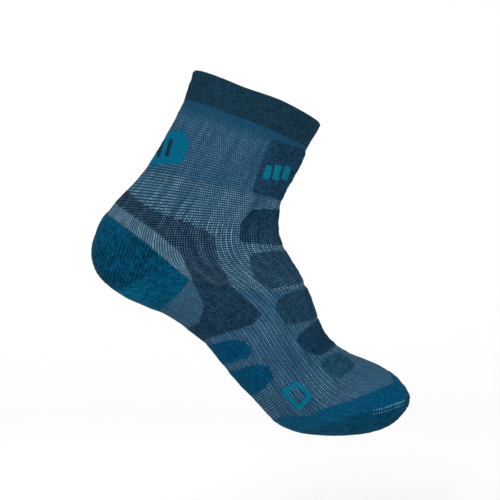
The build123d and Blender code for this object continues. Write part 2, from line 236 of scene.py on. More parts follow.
# For each node: how far it stands out in mm; the depth in mm of its stitches, pits, wale ribs and
# course ribs; how strong its light dashes are; its material
ZONES = {
    "cuff_outer_ply": (0.5, 0.14, 0, 0.05, 0, 0, "cuff"),
    "leg_panel": (0, 0.05, 0.06, 0, 0, 0.78, "leg_mesh"),
    "back_patch": (0.15, 0.12, 0, 0, 0, 0, "teal_mark"),
    "back_patch_bars": (0.15, 0.12, 0, 0, 0, 0, "dark_mark"),
    "shin_pad": (0.8, 0.14, 0, 0.05, 0, 0.08, "shin_pad"),
    "shin_pad_blocks": (0.7, 0.14, 0, 0, 0, 0, "block"),
    "ankle_panel": (0, 0.05, 0.14, 0, 0, 0.85, "ankle_mesh"),
    "ankle_pad_upper": (0.9, 0.12, 0.05, 0.1, 0, 0.35, "pad"),
    "ankle_pad_lower": (0.9, 0.12, 0.05, 0.1, 0, 0.45, "pad"),
    "support_band_upper": (0.45, 0.12, 0.05, 0.05, 0, 0.4, "band"),
    "heel_gusset_upper": (-0.1, 0.04, 0, 0.14, 0, 0.62, "gusset"),
    "support_band_lower": (0.45, 0.14, 0, 0.03, 0.05, 0.2, "low_band"),
    "heel_gusset_lower": (0, 0.08, 0.12, 0.08, 0, 0.6, "low_gusset"),
    "heel_pocket": (0.5, 0.04, 0, 0.26, 0, 0, "heel"),
    "foot_panel": (0, 0.05, 0.06, 0, 0, 0.75, "foot_mesh"),
    "instep_pad_upper": (0.9, 0.14, 0.03, 0.05, 0, 0.3, "pad"),
    "arch_rib_rear": (0.4, 0.1, 0, 0, 0, 0, "rib"),
    "arch_rib_front": (0.4, 0.1, 0, 0, 0, 0, "rib"),
    "instep_pad_lower": (0.9, 0.14, 0, 0, 0, 0.1, "pad"),
    "toe_pad": (0.6, 0.14, 0, 0, 0, 0, "toe_pad"),
    "side_badge": (0.15, 0.1, 0, 0, 0, 0, "badge"),
    "ball_panel": (0, 0.05, 0.06, 0, 0, 0.75, "foot_mesh"),
    "ball_cushion": (0.5, 0.06, 0, 0.08, 0, 0.3, "toe"),
    "toe_panel": (0, 0.08, 0.05, 0, 0, 0.75, "toe_mesh"),
    "toe_cap": (0.5, 0.05, 0, 0, 0.24, 0.3, "toe"),
}


def owners(tree, owner, points, limit=1.0):
    """Which node of a search tree each point of a grid is nearest to, or -1 where none is in the limit."""
    found = [tree.find_nearest(p, limit) for p in points.reshape(-1, 3)]
    index = [-1 if hit[2] is None else owner[hit[2]] for hit in found]
    return np.array(index).reshape(points.shape[:2])


def softened(values, passes):
    """A grid that closes round its columns, blurred a little on each pass."""
    out = values.astype(float)
    for _ in range(passes):
        out = (np.roll(out, 1, axis=1) + 2 * out + np.roll(out, -1, axis=1)) / 4
        edged = np.concatenate([out[:1], out, out[-1:]])
        out = (edged[:-2] + 2 * edged[1:-1] + edged[2:]) / 4
    return out


def to_points(cell_values):
    """Values of half stitches, given to every point of the grid."""
    fine = np.repeat(np.repeat(cell_values, CELL, axis=0), CELL, axis=1)
    return np.concatenate([fine, fine[-1:]])


def course_count(wale):
    """The courses from the rim to each row, measured along one wale."""
    column = surface[:, wale * SPLIT]
    return np.r_[0, np.cumsum(np.linalg.norm(np.diff(column, axis=0), axis=1))] / COURSE


def wave(x):
    """0 at whole numbers and 1 half way between them."""
    return 0.5 - 0.5 * np.cos(2 * math.pi * x)


def gore_distance(points, line):
    """How far each point is, seen from the side, from a line given as x and z in mm."""
    a, b = (np.array([x, z]) * MM for x, z in line)
    flat = points[..., [0, 2]] - a
    along = np.clip(flat @ (b - a) / ((b - a) @ (b - a)), 0, 1)
    return np.linalg.norm(flat - along[..., None] * (b - a), axis=-1)


# --- Mesh of a knitted piece -----------------------------------------------------------------------


def knitted(name, outer, inner, cells, gather, courses, extra):
    """A closed sheet over the marked half stitches of two grids of points, one for each side.

    The outer grid may be finer than the cells. The last row of a grid is closed by a flat face. Gather is
    how many wales have become one at each row of cells, and courses counts the courses at each row.
    """
    columns = outer.shape[1]
    split = columns // cells.shape[1]
    count = outer.shape[0] * columns
    points = np.concatenate([outer.reshape(-1, 3), inner.reshape(-1, 3)])

    def corner(i, j, down, along, inside=False):
        """A corner's point and its place in stitches, from its cell and its steps from the cell's corner."""
        r, c = i * split + down, j * split + along
        place = np.stack([c / split / 2 / gather[i], courses[r]], axis=-1)
        return r * columns + c % columns + inside * count, place

    def polygons(corners):
        ids, places = zip(*corners)
        return np.stack(ids, axis=-1), np.stack(places, axis=-2)

    i, j = np.nonzero(cells)
    parts = []
    for a in range(split):
        for b in range(split):
            parts.append(polygons([corner(i, j, a + p, b + q) for p, q in ((0, 0), (1, 0), (1, 1), (0, 1))]))
    back = ((0, 0), (0, split), (split, split), (split, 0))
    parts.append(polygons([corner(i, j, p, q, True) for p, q in back]))

    framed = np.pad(cells, ((1, 1), (0, 0)))
    framed[-1] = cells[-1]
    sides = (
        (framed[:-2], (0, 0), (0, 1)),
        (framed[2:], (split, split), (0, -1)),
        (np.roll(cells, 1, axis=1), (split, 0), (-1, 0)),
        (np.roll(cells, -1, axis=1), (0, split), (1, 0)),
    )
    for beside, start, step in sides:
        i, j = np.nonzero(cells & ~beside)
        steps = [(start[0] + step[0] * k, start[1] + step[1] * k) for k in range(split + 1)]
        rim = [corner(i, j, *at) for at in steps]
        rim += [corner(i, j, *steps[-1], True), corner(i, j, *steps[0], True)]
        parts.append(polygons(rim))
    if cells[-1].all():
        ring = np.arange(columns)
        last = np.full(columns, cells.shape[0] - 1)
        for inside, order in ((False, ring), (True, ring[::-1])):
            ids, places = corner(last, order // split, split, order % split, inside)
            parts.append((ids[None], places[None]))

    faces, places = zip(*[part for part in parts if len(part[0])])
    used, index = np.unique(np.concatenate([f.ravel() for f in faces]), return_inverse=True)
    sizes = np.concatenate([np.full(len(f), f.shape[1]) for f in faces])
    mesh = bpy.data.meshes.new(name)
    mesh.vertices.add(len(used))
    mesh.vertices.foreach_set("co", points[used].astype(np.float32).ravel())
    mesh.loops.add(len(index))
    mesh.loops.foreach_set("vertex_index", index.astype(np.int32))
    mesh.polygons.add(len(sizes))
    mesh.polygons.foreach_set("loop_start", np.r_[0, np.cumsum(sizes)[:-1]].astype(np.int32))
    mesh.update(calc_edges=True)
    mesh.polygons.foreach_set("use_smooth", np.ones(len(sizes), bool))
    uv = np.concatenate([p.reshape(-1, 2) for p in places]).astype(np.float32)
    mesh.uv_layers.new(name="stitch").data.foreach_set("uv", uv.ravel())
    for label, values in extra.items():
        layer = mesh.attributes.new(label, "FLOAT_VECTOR", "POINT")
        layer.data.foreach_set("vector", values.reshape(-1, 3)[used % count].astype(np.float32).ravel())
    piece = bpy.data.objects.new(name, mesh)
    bpy.context.scene.collection.objects.link(piece)
    return piece


def ellipsoid(around=8, rings=5):
    """Points and faces of a ball of radius 1, its poles on x."""
    points = [(-1, 0, 0)]
    for i in range(1, rings):
        turn = math.pi * i / rings
        for j in range(around):
            angle = 2 * math.pi * j / around
            radius = math.sin(turn)
            points.append((-math.cos(turn), radius * math.cos(angle), radius * math.sin(angle)))
    points.append((1, 0, 0))
    faces = []
    last = 1 + (rings - 2) * around
    for j in range(around):
        after = (j + 1) % around
        faces.append((0, 1 + after, 1 + j))
        for i in range(rings - 2):
            row = 1 + i * around
            faces.append((row + j, row + after, row + around + after, row + around + j))
        faces.append((last + j, last + after, len(points) - 1))
    return np.array(points), faces


def stitches(name, places, ways, normals, sizes):
    """One object of small rounded stitches: each at its place, lying along its way on its normal."""
    ball, ball_faces = ellipsoid()
    points, faces = [], []
    for place, way, normal, size in zip(places, ways, normals, sizes):
        side = np.cross(normal, way)
        side /= np.linalg.norm(side)
        axes = np.array([np.cross(side, normal) * size[0], side * size[1], normal * size[2]])
        faces.extend([[len(points) + v for v in f] for f in ball_faces])
        points.extend(place + ball @ axes / 2)
    mesh = bpy.data.meshes.new(name)
    mesh.from_pydata([tuple(p) for p in points], [], faces)
    mesh.polygons.foreach_set("use_smooth", np.ones(len(faces), bool))
    piece = bpy.data.objects.new(name, mesh)
    bpy.context.scene.collection.objects.link(piece)
    return piece


# --- Materials -------------------------------------------------------------------------------------


class Graph:
    """A material's nodes, built from expressions. Each argument is a number, a colour or a socket."""

    def __init__(self, name):
        self.material = bpy.data.materials.new(name)
        self.material.use_nodes = True
        self.tree = self.material.node_tree
        self.shader = self.tree.nodes["Principled BSDF"]

    def node(self, kind, inputs=(), **settings):
        node = self.tree.nodes.new(kind)
        for name, value in settings.items():
            setattr(node, name, value)
        for key, value in dict(inputs).items():
            self.set(node.inputs[key], value)
        return node

    def set(self, socket, value):
        if isinstance(value, bpy.types.NodeSocket):
            self.tree.links.new(value, socket)
        else:
            socket.default_value = value

    def math(self, operation, *values):
        node = self.node("ShaderNodeMath", enumerate(values), operation=operation)
        return node.outputs[0]

    def total(self, *values):
        out = values[0]
        for value in values[1:]:
            out = self.math("ADD", out, value)
        return out

    def product(self, *values):
        out = values[0]
        for value in values[1:]:
            out = self.math("MULTIPLY", out, value)
        return out

    def between(self, value, low, high):
        """0 at low, 1 at high and smooth between them. Low may be the greater."""
        node = self.node("ShaderNodeMapRange", {0: value, 1: low, 2: high}, interpolation_type="SMOOTHSTEP")
        return node.outputs[0]

    def wave(self, value):
        """0 at whole numbers and 1 half way between them."""
        turn = self.math("MULTIPLY", value, 2 * math.pi)
        return self.math("MULTIPLY_ADD", self.math("COSINE", turn), -0.5, 0.5)

    def mix(self, factor, a, b, blend="MIX"):
        inputs = {"Factor": factor, "A": a, "B": b}
        node = self.tree.nodes.new("ShaderNodeMix")
        node.data_type = "RGBA"
        node.blend_type = blend
        for key, value in inputs.items():
            sockets = [s for s in node.inputs if s.name == key and s.enabled]
            self.set(sockets[0], value)
        return [s for s in node.outputs if s.enabled][0]

    def vector(self, name):
        """The three values of a point attribute."""
        attribute = self.node("ShaderNodeAttribute", attribute_name=name)
        split = self.node("ShaderNodeSeparateXYZ", {0: attribute.outputs["Vector"]})
        return attribute.outputs["Vector"], split.outputs

    def noise(self, place, scale, detail=2.0):
        node = self.node("ShaderNodeTexNoise", {"Vector": place, "Scale": scale, "Detail": detail})
        return node.outputs[0]


def dash_spots(g, u, v, setting, wide, tall, alternate):
    """The light dashes over stitches u, v: where they are, how they come and go, and each stitch's noise.

    The setting is 1 where they are set like bricks and -1 where they are drawn out into lines.
    """
    line_wide, line_tall = 0.27, 0.48
    brick = g.math("MAXIMUM", setting, 0.0)
    line = g.math("MAXIMUM", g.math("MULTIPLY", setting, -1.0), 0.0)
    row = g.math("FLOOR", v)
    shifted = g.math("ADD", u, g.product(g.math("MODULO", row, 2.0), 0.5, brick))
    from_wale = g.math("ABSOLUTE", g.math("SUBTRACT", g.math("FRACT", shifted), 0.5))
    from_course = g.math("ABSOLUTE", g.math("SUBTRACT", g.math("FRACT", v), 0.5))
    parity = g.math("MODULO", g.math("FLOOR", shifted), 2.0)
    weaker = g.product(parity, g.math("SUBTRACT", 1.0, brick), alternate)
    side = g.math("MULTIPLY_ADD", line, line_wide - wide, wide)
    end = g.math("MULTIPLY_ADD", line, line_tall - tall, tall)
    across_spot = g.between(from_wale, side, g.math("SUBTRACT", side, 0.17))
    along_spot = g.between(from_course, end, g.math("SUBTRACT", end, 0.24))
    spot = g.product(across_spot, along_spot, g.math("SUBTRACT", 1.0, weaker))

    run = g.node("ShaderNodeCombineXYZ", {0: g.math("MULTIPLY", u, 0.35), 1: g.math("MULTIPLY", v, 0.05)})
    streak = g.math("MULTIPLY_ADD", g.noise(run.outputs[0], 1.0, 1.0), 2.4, -0.2)
    stitch = g.node("ShaderNodeCombineXYZ", {0: g.math("FLOOR", shifted), 1: row})
    yarn = g.node("ShaderNodeTexWhiteNoise", {"Vector": stitch.outputs[0]}).outputs["Value"]
    return spot, streak, yarn


def stitch_height(g, u, v):
    """The two slanting legs of each stitch, as a height from 0 to 1."""
    along = g.math("FRACT", u)
    legs = g.wave(g.math("MULTIPLY", along, 2.0))
    slope = g.math("ABSOLUTE", g.math("SUBTRACT", along, 0.5))
    loops = g.wave(g.math("ADD", v, slope))
    return g.product(legs, g.math("MULTIPLY_ADD", loops, 0.5, 0.5))


def painted_rib_shade(g, u, v, rest, relief, leaning):
    """Painted shade between wale ribs and between course ribs, stronger in some places than in others."""
    # How strong the painted rib shade is varies from place to place with a noise
    rib_shade_strength = g.math("MULTIPLY_ADD", g.noise(rest, 170.0, 1.0), 3.0, -0.5)
    phase = u
    if leaning:
        across = g.node("ShaderNodeVectorMath", {0: rest, 1: HEEL_RIB_WAY}, operation="DOT_PRODUCT")
        phase = g.math("DIVIDE", across.outputs["Value"], HEEL_RIB_PITCH)
    wale_shade = g.product(relief[1], 1.5, g.math("SUBTRACT", 1.0, g.wave(phase)), rib_shade_strength)
    course_shade = g.product(relief[2], 1.8, g.math("SUBTRACT", 1.0, g.wave(v)), rib_shade_strength)
    return g.math("ADD", wale_shade, course_shade)


def knit_material(
    name, first, dash, second=None, mottle=0.1, alternate=0.0, wide=0.27, tall=0.4, gauge=(1, 1),
    blotch=None, leaning=False,
):
    """Knitted yarn: one or two base colours, light dashes, blotches of a further colour, and painted shade.

    Mottle is how uneven the yarn is. Alternate is how much weaker the dashes are on every second wale.
    Wide and tall are half a dash's width and height in stitches, of which gauge is how many there are to
    a wale and to a course. Leaning knit has its painted rib shade along the heel's ribs.

    The stitch UV counts wales and courses. The tone attribute holds the strength of the dashes, how they
    are set, from 1 like bricks to -1 as lines along the wales, and the share of the second colour. The
    relief attribute holds the depths of stitches, wale ribs and course ribs in mm.
    """
    g = Graph(name)
    _, tone = g.vector("tone")
    _, relief = g.vector("relief")
    rest, _ = g.vector("rest")
    uv = g.node("ShaderNodeUVMap", uv_map="stitch")
    place = g.node("ShaderNodeSeparateXYZ", {0: uv.outputs[0]}).outputs
    u, v = g.math("MULTIPLY", place[0], gauge[0]), g.math("MULTIPLY", place[1], gauge[1])
    spot, streak, yarn = dash_spots(g, u, v, tone[1], wide, tall, alternate)
    height = stitch_height(g, u, v)
    fine = g.noise(rest, 1400.0, 3.0)
    broad = g.noise(rest, 30.0, 1.0)

    # The yarn's colour, with painted shade between stitches and ribs
    base = g.mix(tone[2], srgb(*first), srgb(*(second or first)))
    if blotch:
        patch = g.noise(rest, 520.0, 3.0)
        base = g.mix(g.product(g.between(patch, 0.42, 0.7), 0.5), base, srgb(*blotch))
    # Painted shade in the hollows between the legs of the stitches
    stitch_shade = g.product(0.3, g.math("SUBTRACT", 1.0, height))
    painted_shade = g.math("ADD", painted_rib_shade(g, u, v, rest, relief, leaning), stitch_shade)
    uneven = g.total(
        g.product(g.math("SUBTRACT", yarn, 0.5), mottle * 2.6),
        g.product(g.math("SUBTRACT", fine, 0.5), mottle * 3.0),
        g.product(g.math("SUBTRACT", broad, 0.5), mottle * 1.5),
        1.13,
    )
    # The painted shade, times the yarn's own uneven colour
    light = g.product(g.math("SUBTRACT", 1.0, painted_shade), uneven)
    grey = g.node("ShaderNodeCombineXYZ", {0: light, 1: light, 2: light})
    coloured = g.mix(1.0, base, grey.outputs[0], "MULTIPLY")
    fleck = g.product(spot, tone[0], streak, g.math("MULTIPLY_ADD", yarn, 0.5, 0.62))

    # Bump and finish
    bump_height = g.total(g.product(height, 0.75), g.product(fine, 0.45), g.product(spot, tone[0], -0.4))
    bump = g.node("ShaderNodeBump", {"Height": bump_height, "Strength": 0.6, "Distance": 0.2 * MM})
    g.set(g.shader.inputs["Base Color"], g.mix(fleck, coloured, srgb(*dash)))
    g.set(g.shader.inputs["Roughness"], g.total(0.8, g.product(fine, 0.16)))
    g.set(g.shader.inputs["Normal"], bump.outputs[0])
    g.set(g.shader.inputs["Sheen Weight"], 0.015)
    g.set(g.shader.inputs["Sheen Roughness"], 0.5)
    g.set(g.shader.inputs["Sheen Tint"], srgb(60, 120, 150))
    g.set(g.shader.inputs["Specular IOR Level"], 0.03)
    return g.material


def yarn_material(name, first, second):
    """Plain yarn for small stitches, loops and elastic, uneven in colour and surface."""
    g = Graph(name)
    place = g.node("ShaderNodeTexCoord").outputs["Object"]
    fine, broad = g.noise(place, 1500.0, 3.0), g.noise(place, 160.0, 2.0)
    bump = g.node("ShaderNodeBump", {"Height": fine, "Strength": 0.5, "Distance": 0.15 * MM})
    g.set(g.shader.inputs["Base Color"], g.mix(g.between(broad, 0.35, 0.65), srgb(*first), srgb(*second)))
    g.set(g.shader.inputs["Roughness"], g.total(0.72, g.product(fine, 0.16)))
    g.set(g.shader.inputs["Normal"], bump.outputs[0])
    g.set(g.shader.inputs["Sheen Weight"], 0.02)
    g.set(g.shader.inputs["Specular IOR Level"], 0.08)
    return g.material


def plain_material(name, colour):
    """A dull surface of one colour, a little uneven."""
    g = Graph(name)
    place = g.node("ShaderNodeTexCoord").outputs["Object"]
    cloud = g.noise(place, 3.0, 1.0)
    darker = tuple(c * 0.985 for c in srgb(*colour)[:3]) + (1.0,)
    g.set(g.shader.inputs["Base Color"], g.mix(cloud, srgb(*colour), darker))
    g.set(g.shader.inputs["Roughness"], 0.9)
    return g.material


# Name: slot, colour, colour of the dashes, and what differs from the usual yarn
KNITS = {
    "cuff": ("cuff", (18, 48, 67), (60, 95, 110), {"mottle": 0.24, "blotch": (28, 56, 56)}),
    "leg_mesh": (
        "mesh", (22, 57, 84), (104, 146, 168),
        {"second": (22, 64, 88), "gauge": (1, 1.1), "wide": 0.34, "tall": 0.36},
    ),
    "ankle_mesh": (
        "mesh", (14, 48, 71), (136, 176, 197),
        {"second": (24, 60, 84), "gauge": (1, 1.1), "alternate": 0.5, "wide": 0.38, "tall": 0.34},
    ),
    "foot_mesh": ("mesh", (12, 49, 77), (114, 160, 182), {"gauge": (1, 1.5), "alternate": 0.5}),
    "toe_mesh": (
        "mesh", (25, 57, 83), (106, 146, 166), {"second": (38, 77, 101), "gauge": (1, 1.5), "alternate": 0.3},
    ),
    "pad": ("pad", (10, 41, 63), (100, 140, 162), {"second": (9, 42, 65), "mottle": 0.32, "alternate": 0.2}),
    "shin_pad": ("pad", (20, 52, 74), (86, 122, 142), {"mottle": 0.3}),
    "toe_pad": ("pad", (24, 62, 83), (95, 135, 155), {"mottle": 0.3}),
    "band": ("band", (6, 28, 49), (98, 134, 156), {"mottle": 0.34, "wide": 0.36}),
    "low_band": ("band", (15, 42, 62), (84, 120, 142), {"second": (11, 41, 62), "mottle": 0.44}),
    "gusset": ("gusset", (44, 76, 95), (118, 146, 164), {"tall": 0.62}),
    "low_gusset": ("gusset", (32, 66, 90), (92, 128, 150), {}),
    "teal_mark": ("teal_mark", (2, 88, 117), (30, 130, 160), {}),
    "block": ("teal_mark", (5, 100, 124), (40, 140, 160), {}),
    "badge": ("teal_mark", (2, 94, 120), (60, 140, 165), {}),
    "dark_mark": ("dark_mark", (14, 44, 62), (60, 95, 110), {}),
    "heel": ("heel", (1, 62, 89), (40, 110, 140), {"second": (1, 80, 109), "mottle": 0.36, "leaning": True}),
    "toe": ("toe", (0, 64, 94), (46, 112, 140), {"mottle": 0.2}),
    "rib": ("rib", (1, 60, 89), (40, 110, 140), {"mottle": 0.24}),
    "terry": ("terry", (4, 66, 96), (50, 120, 150), {"second": (8, 76, 106), "mottle": 0.2}),
    "seam": ("gore", (26, 84, 112), (60, 130, 160), {}),
}
materials = {}
for name, (slot, colour, dash, options) in KNITS.items():
    materials[name] = knit_material(name, colour, dash, **options)

# --- The knit --------------------------------------------------------------------------------------

# From where to where the looks change, in mm. Down is -z, and down the leg is -z - x / 4
RIM_FORWARD = (-14, 20)  # in x, the rim goes from sagging to standing up
RIM_FLARES = (33, 43)  # in x, the rim begins to flare
HEEL_RIBS_TOP = (97, 112)  # down, the heel's ribs get deeper
HEEL_RIBS_END = (-3, 7)  # below the heel's gore, its ribs fade
HEEL_BRIGHT = (155, 176)  # down and back, its colour brightens
HEEL_BRIGHT_ENDS = (-84, -62)  # in x, it gets darker again
TOE_RIBS = (-2, 2)  # below the toe's gore, its ribs begin
DOTS_BEGIN = (2, 8)  # below the cuff, the dots begin
BRICKS_END = (84, 104)  # down the leg, the dots go from bricks to columns
LINES_BEGIN = (108, 130)  # down and forwards, the dots are drawn out into lines
LINES_END = (55, 80)  # in x, they are dots again
ANKLE_NEAR = (70, 84)  # down the leg, the dots fade and the second colour shows
DOTS_FADE = (60, 92)  # in x, the dots fade towards the toes, and the second colour shows
SECOND_ENDS = (2, 12)  # below the cuff, the second colour ends
SECOND_BEGINS = (150, 175)  # down, the second colour shows again
EDGE_PASSES, UNEVEN_PASSES = 20, 30  # how far blurring spreads the edges of pads and the uneven tension

FRONT = [name for name in SKIN if ZONES[name][6].endswith(("leg_mesh", "ankle_mesh", "foot_mesh", "pad"))]
FRONT_IDS = [SKIN.index(name) for name in FRONT]

cast_tree, _ = node_tree(SKIN + GORES)
skin_tree, skin_owner = node_tree(SKIN)
surface = tube_surface(cast_tree)
normal = normals_of(surface)
cell_owner = owners(skin_tree, skin_owner, surface[1::CELL, 1::CELL])

rows = np.arange(surface.shape[0])[:, None] / SPLIT
wales = np.arange(surface.shape[1])[None] / SPLIT
x_mm, z_mm = surface[..., 0] / MM, surface[..., 2] / MM

# The rim sags at the back, stands up in front and flares there
rise = surface[0] - surface[SPLIT]
rise /= np.linalg.norm(rise, axis=1, keepdims=True)
at_rim = smoothstep(-rows, -RIM_COURSES, 0)[..., None] * MM
forward = smoothstep(x_mm[0], *RIM_FORWARD)[:, None]
flare = RIM_FLARE * smoothstep(x_mm[0], *RIM_FLARES)[:, None]
unflared = surface + at_rim * rise * ((RIM_SAG + RIM_LIFT) * forward - RIM_SAG)
surface = unflared + at_rim * normal[0] * flare

table = np.array([ZONES[name][:6] for name in SKIN], float)
zone = [to_points(table[cell_owner, k]) for k in range(6)]
raised = softened(zone[0], EDGE_PASSES)
stitch_depth, pit_depth, wale_rib, course_rib, dashes = (softened(z, 2) for z in zone[1:])


def below(line, x):
    """How far each point is below a gore line that goes on past its ends, in mm, for a given x in mm."""
    (x0, z0), (x1, z1) = line
    return z0 + (z1 - z0) / (x1 - x0) * (x - x0) - z_mm


# Below the heel's gore its ribs fade out, and its colour brightens towards the sole. The toe's ribs run
# below its gore only
on_heel = (x_mm < HEEL_CORNER[0]) * (z_mm < HEEL_CORNER[1])
heel_low = smoothstep(below(HEEL_GORE, np.maximum(x_mm, HEEL_GORE[0][0])), *HEEL_RIBS_END) * on_heel
heel_bright = heel_low * smoothstep(-z_mm - 0.4 * x_mm, *HEEL_BRIGHT)
heel_bright = heel_bright * (1 - 0.9 * smoothstep(x_mm, *HEEL_BRIGHT_ENDS))
wale_rib = wale_rib * (1 - 0.85 * heel_low)
course_rib = course_rib * smoothstep(below(TOE_GORE, x_mm), *TOE_RIBS)

# The heel's ribs lean forwards, are shallow at its top, and fade where the surface turns from them
is_heel = to_points(cell_owner == SKIN.index("heel_pocket"))
lean = np.array(HEEL_RIB_WAY)
rib_phase = np.where(is_heel, surface @ lean / HEEL_RIB_PITCH, wales)
across_lean = smoothstep(1 - (normal @ lean) ** 2, 0.1, 0.6)
heel_rib = wale_rib * across_lean * (0.4 + 0.6 * smoothstep(-z_mm, *HEEL_RIBS_TOP))
wale_rib = np.where(is_heel, heel_rib, wale_rib)

# Courses are counted along the front for the leg's and the foot's mesh and pads, and else along the side
front_courses, side_courses = course_count(FRONT_WALE), course_count(SIDE_WALE)

# Uneven tension
uneven = softened(np.random.default_rng(3).standard_normal(surface.shape[:2]), UNEVEN_PASSES)
raised = raised + UNEVEN * uneven / uneven.std()

# How far below the cuff each stitch is, and where the dots are set like bricks or drawn out into lines
cuff_rows = (cell_owner == SKIN.index("cuff_outer_ply")).sum(axis=0)
below_cuff = rows - softened(np.repeat(cuff_rows / 2, CELL)[None].repeat(2, axis=0), 8)[:1]
down_leg = -z_mm - 0.25 * x_mm
brick = 1 - smoothstep(down_leg, *BRICKS_END)
drawn_out = smoothstep(0.9 * x_mm - z_mm, *LINES_BEGIN) * (1 - smoothstep(x_mm, *LINES_END))
course = np.where(to_points(np.isin(cell_owner, FRONT_IDS)), front_courses[:, None], side_courses[:, None])
legs = wave(2 * wales)
loops = wave(course + abs(wales % 1 - 0.5))
brick_shift = 0.5 * (np.floor(course) % 2) * (brick > 0.5)
pits = wave(wales + brick_shift) * wave(course)
dot_start = smoothstep(below_cuff, *DOTS_BEGIN)

relief = stitch_depth * legs * (0.4 + 0.6 * loops) - pit_depth * dot_start * pits
relief += wale_rib * (wave(rib_phase) - 1) + course_rib * (wave(course) - 1)
for line, depth in GROOVES:
    relief -= depth * np.exp(-((gore_distance(surface, line) / GROOVE_WIDTH) ** 2))
wale_width = np.linalg.norm(np.roll(surface, -1, axis=1) - surface, axis=2) * SPLIT
tip_row = (COURSES - TOE_TURN) * SPLIT
relief[tip_row:] *= np.clip(wale_width[tip_row:] / FULL_WALE, 0, 1)
outer = surface + normal * (raised + relief)[..., None] * MM
inner = surface - normal * KNIT

# Where the dots fade towards the ankle and the toes, and where the second colour of a zone's two shows
toe_fade = smoothstep(x_mm, *DOTS_FADE)
near_ankle = brick * smoothstep(down_leg, *ANKLE_NEAR)
faint = (1 - 0.35 * brick - 0.16 * near_ankle) * (1 - 0.75 * toe_fade)
second = np.where(z_mm > -75, 1 - smoothstep(below_cuff, *SECOND_ENDS), heel_bright)
second = np.maximum(np.maximum(second, near_ankle), smoothstep(-z_mm, *SECOND_BEGINS))
second = np.where(x_mm > 45, toe_fade, second)

tone = np.stack([dashes * dot_start * faint, brick - 0.6 * drawn_out, second], axis=-1)
# These depths also set how much painted shade the material puts between the ribs
depths = np.stack([stitch_depth, wale_rib, course_rib], axis=-1)

# The turned cuff goes on above the surface's first row: over the rim, then down the inside
inside_rows = INSIDE * SPLIT
down_inside = unflared[:inside_rows] - normal[:inside_rows] * CUFF_DEPTH
top_outside = surface[0] + normal[0] * ZONES["cuff_outer_ply"][0] * MM
fold_middle = (down_inside[0] + top_outside) / 2
fold_out = (top_outside - down_inside[0]) / 2
over = np.linspace(math.pi, 0, TURN * SPLIT, endpoint=False)
fold = [fold_middle + math.cos(t) * fold_out + math.sin(t) * rise * CUFF / 2 for t in over]
fold_normal = [math.cos(t) * normal[0] + math.sin(t) * rise for t in over]
above = (INSIDE + TURN) * SPLIT
fold_relief = (stitch_depth * legs * (0.4 + 0.6 * loops))[: SPLIT * TURN, :, None] * MM
fold_outer = np.array(fold) + np.array(fold_normal) * fold_relief
fold_inner = np.array(fold) - np.array(fold_normal) * PLY
up_inside = down_inside[::-1]
behind_inside = up_inside + normal[:inside_rows][::-1] * PLY
all_outer = np.concatenate([up_inside, fold_outer, outer])
ply = np.concatenate([behind_inside, fold_inner, surface - normal * PLY])
rest = np.concatenate([up_inside, fold, surface])


def extended(values):
    """A grid's values, carried on over the rim and down the inside as they are below it."""
    return np.concatenate([values[:inside_rows][::-1], values[: TURN * SPLIT][::-1], values])


extra = {"tone": extended(tone), "relief": extended(depths), "rest": rest}
all_inner = np.concatenate([ply[:above], inner])

# Towards the toe tip the rings shrink, so two wales become one again and again
ring_wale = np.linalg.norm(np.diff(outer[::CELL], axis=1), axis=2).sum(axis=1) / WALES
steps = np.clip(np.round(np.log2(COURSE / ring_wale[:-1])), 0, 4)
gather = np.concatenate([np.ones(above // CELL), 2.0 ** np.maximum.accumulate(steps)])

# The courses over the rim and inside it are counted backwards from it
before = np.arange(-above, 0) / SPLIT
count_front, count_side = np.r_[before, front_courses], np.r_[before, side_courses]

# Which rows of cells are turned over, which of those are inside, and the CAD node of each cell
turned = np.arange(len(gather))[:, None] < above // CELL
inside_cells = inside_rows // CELL
inside = np.arange(len(gather))[:, None] < inside_cells
cells_of = np.concatenate([cell_owner[: above // CELL] * 0 - 1, cell_owner])
cuff_id = SKIN.index("cuff_outer_ply")

# Each node's piece, and the cells that it is made of
pieces = {}
for index, name in enumerate(SKIN):
    cells = cells_of == index
    thickness = all_inner
    if index == cuff_id:
        cells = cells | (turned & ~inside)
        thickness = ply
    count = count_front if name in FRONT else count_side
    pieces[name] = knitted(f"{name}_knit", all_outer, thickness, cells, gather, count, extra)
    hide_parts(name)
inner_ply = np.zeros_like(cells_of, bool)
inner_ply[:inside_cells] = (cell_owner == cuff_id)[:inside_cells][::-1]
inside_cuff = knitted("cuff_inner_ply_knit", all_outer, ply, inner_ply, gather, count_side, extra)
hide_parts("cuff_inner_ply")
pieces["cuff_inner_ply"] = inside_cuff

# Terry linings and the toe's closing seam, on a grid with one step to a half stitch
loop_size = np.random.default_rng(7).random(surface[::CELL, ::CELL].shape[:2])
lining_tree, lining_owner = node_tree(LININGS)
deep = surface - normal * (KNIT + TERRY / 2)
lined = owners(lining_tree, lining_owner, deep[1::CELL, 1::CELL], LINING_REACH)
coarse = surface[::CELL, ::CELL]
coarse_normal = normal[::CELL, ::CELL]
coarse_extra = {label: values[above::CELL, ::CELL] for label, values in extra.items()}
coarse_gather, coarse_courses = gather[above // CELL :], side_courses[::CELL]
for index, name in enumerate(LININGS):
    proud = SEAM_PROUD if name == "toe_seam" else 0
    reach = KNIT + TERRY + proud + (loop_size - 0.5) * LOOPS
    back = coarse - coarse_normal * reach[..., None]
    front = coarse - coarse_normal * (KNIT + LINING_GAP)
    cells = lined == index
    pieces[name] = knitted(f"{name}_knit", front, back, cells, coarse_gather, coarse_courses, coarse_extra)
    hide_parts(name)
